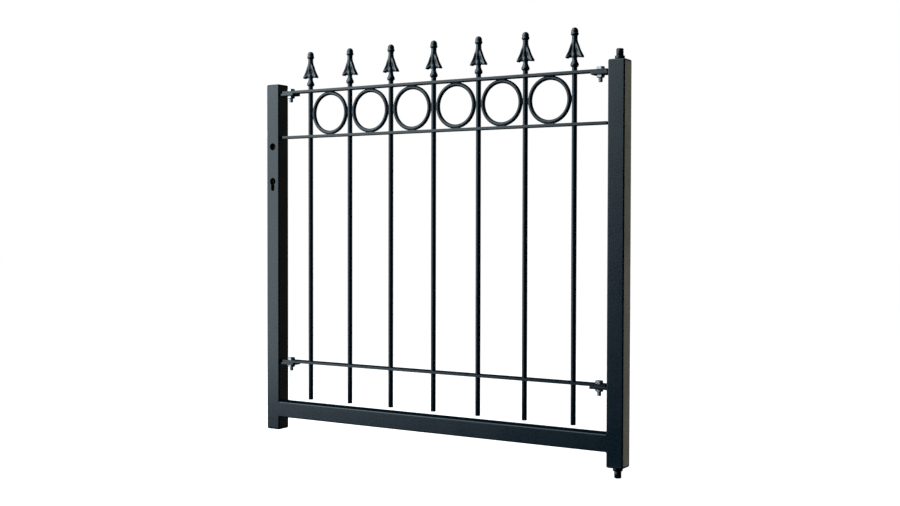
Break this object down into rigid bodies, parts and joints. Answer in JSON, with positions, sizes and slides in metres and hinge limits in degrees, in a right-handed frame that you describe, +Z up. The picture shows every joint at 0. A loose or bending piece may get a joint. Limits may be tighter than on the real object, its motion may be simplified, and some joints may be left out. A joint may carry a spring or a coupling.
{
  "type": "garden gate",
  "caption": "Single-leaf metal garden gate: square-tube frame, bolted-in bar infill with rings and spear finials, pivot pins and a mortise lock in the latch stile.",
  "frame": {"origin": "on the pivot axis, where the bottom pivot pin's spigot meets the lower face of its collar", "axes": "+X along the leaf towards the hinge stile's outer side, with the latch stile on the -X side; +Y towards the back of the gate, so the front faces -Y; +Z up along the pivot axis"},
  "size_m": [1.023, 0.04, 1.0028],
  "materials": {
    "powder_coat": "fine-textured anthracite powder coat, satin",
    "coated_casting": "anthracite powder coat over a cast surface, satin",
    "zinc_plate": "bright zinc-plated steel",
    "bush_nylon": "black bearing nylon, matt",
    "stainless": "brushed stainless steel",
    "lock_steel": "zinc-plated sheet steel",
    "nickel_plate": "nickel-plated, satin"
  },
  "bodies": {
    "pivots": {"bottom_pivot_pin": "powder_coat", "top_pivot_pin": "powder_coat"},
    "leaf": {"latch_stile": "powder_coat", "hinge_stile": "powder_coat", "bottom_rail": "powder_coat", "latch_stile_top_cap": "powder_coat", "latch_stile_foot_cap": "powder_coat", "top_pivot_block": "powder_coat", "bottom_pivot_block": "powder_coat", "top_rail": "powder_coat", "middle_rail": "powder_coat", "lower_rail": "powder_coat", "bar_1": "powder_coat", "bar_2": "powder_coat", "bar_3": "powder_coat", "bar_4": "powder_coat", "bar_5": "powder_coat", "bar_6": "powder_coat", "bar_7": "powder_coat", "ring_1": "powder_coat", "ring_2": "powder_coat", "ring_3": "powder_coat", "ring_4": "powder_coat", "ring_5": "powder_coat", "ring_6": "powder_coat", "lug_top_latch": "powder_coat", "lug_top_hinge": "powder_coat", "lug_lower_latch": "powder_coat", "lug_lower_hinge": "powder_coat", "finial_1": "coated_casting", "finial_2": "coated_casting", "finial_3": "coated_casting", "finial_4": "coated_casting", "finial_5": "coated_casting", "finial_6": "coated_casting", "finial_7": "coated_casting", "rail_bolts": "zinc_plate", "rail_nuts": "zinc_plate", "top_bush": "bush_nylon", "bottom_bush": "bush_nylon", "lock_forend": "stainless", "forend_screws": "stainless", "lock_case": "lock_steel", "lock_case_cover": "lock_steel", "case_screws": "lock_steel", "latch_spring": "lock_steel"},
    "follower": {"follower": "nickel_plate"},
    "latch": {"latch_bolt": "nickel_plate"},
    "deadlock": {"dead_bolt": "nickel_plate"}
  },
  "joints": [
    {"name": "leaf_swing", "type": "hinge", "parent": "pivots", "child": "leaf", "pos_m": [0, 0, 0], "axis": [0, 0, 1], "range_deg": [-90, 90]},
    {"name": "follower_turn", "type": "hinge", "parent": "leaf", "child": "follower", "pos_m": [-0.97, 0, 0.7458], "axis": [0, 1, 0], "range_deg": [0, 24.9], "stiffness_Nm_per_rad": 0.15, "springref_deg": -20.05},
    {"name": "latch_slide", "type": "slide", "parent": "leaf", "child": "latch", "axis": [1, 0, 0], "range_m": [0, 0.01], "deforming": ["latch_spring"]},
    {"name": "dead_bolt_slide", "type": "slide", "parent": "leaf", "child": "deadlock", "axis": [-1, 0, 0], "range_m": [0, 0.014]}
  ],
  "couplings": [
    {"joint": "latch_slide", "follows": "follower_turn", "m_per_rad": 0.023}
  ]
}
